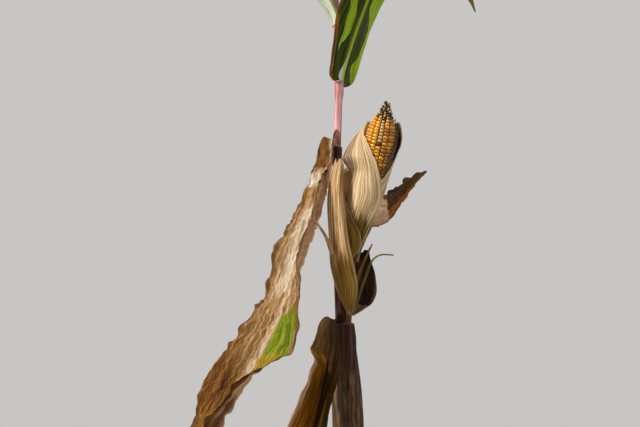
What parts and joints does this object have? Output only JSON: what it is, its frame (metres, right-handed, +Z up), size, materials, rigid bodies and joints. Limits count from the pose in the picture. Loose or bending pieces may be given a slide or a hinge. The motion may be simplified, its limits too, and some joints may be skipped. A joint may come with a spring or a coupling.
{
  "type": "maize plant",
  "caption": "Tall maize plant at harvest time with a jointed stem, prop roots, dead lower and green upper leaves, an open-husked ear of yellow kernels and a dry tassel.",
  "frame": {"origin": "middle of the flat cut under the stem, at ground level", "axes": "+Z up along the stem, -Y to the front, the side the ear leans to, and +X to the viewer's right"},
  "size_m": [0.7475, 0.4451, 2.2651],
  "materials": {
    "stem": "smooth hard rind, brown to dark purple, pale at the nodes",
    "sheath_dry": "dry papery sheath, ribbed lengthways, purple-brown",
    "sheath_pink": "living sheath, pink-red and ribbed",
    "blade_dry": "dead leaf blade, crinkled, tan to brown",
    "blade_green": "living leaf blade, green with a pale midrib",
    "husk": "dry cream husk with fine ribs",
    "husk_brown": "weathered golden-brown husk",
    "husk_dark": "mould-dark outer husk",
    "kernels": "waxy orange-yellow kernels",
    "silk": "dry brown silk threads",
    "tassel": "dry straw-coloured spikelets"
  },
  "bodies": {
    "root": {"stem": "stem", "leaf_01_sheath": "sheath_dry", "leaf_01_blade": "blade_dry", "leaf_02_sheath": "sheath_dry", "leaf_02_blade": "blade_dry", "leaf_03_sheath": "sheath_dry", "leaf_03_blade": "blade_dry", "leaf_04_sheath": "sheath_dry", "leaf_04_blade": "blade_dry", "leaf_05_sheath": "sheath_dry", "leaf_05_blade": "blade_dry", "leaf_06_sheath": "sheath_dry", "leaf_06_blade": "blade_dry", "leaf_07_sheath": "sheath_dry", "leaf_07_blade": "blade_dry", "leaf_08_sheath": "sheath_dry", "leaf_08_blade": "blade_dry", "leaf_09_sheath": "sheath_dry", "leaf_09_blade": "blade_dry", "leaf_10_sheath": "sheath_pink", "leaf_10_blade": "blade_green", "leaf_11_sheath": "sheath_pink", "leaf_11_blade": "blade_green", "leaf_12_sheath": "sheath_pink", "leaf_12_blade": "blade_green", "leaf_13_sheath": "sheath_pink", "leaf_13_blade": "blade_green", "ear_stalk": "sheath_dry", "ear_cob": "kernels", "husk_right": "husk", "husk_back": "husk", "husk_left": "husk", "husk_outer": "husk_brown", "husk_rolled": "husk_brown", "husk_cup": "husk_dark", "husk_strip_left": "husk", "husk_strip_near": "husk", "husk_strip_right": "husk", "silk": "silk", "tassel": "tassel"}
  },
  "joints": []
}
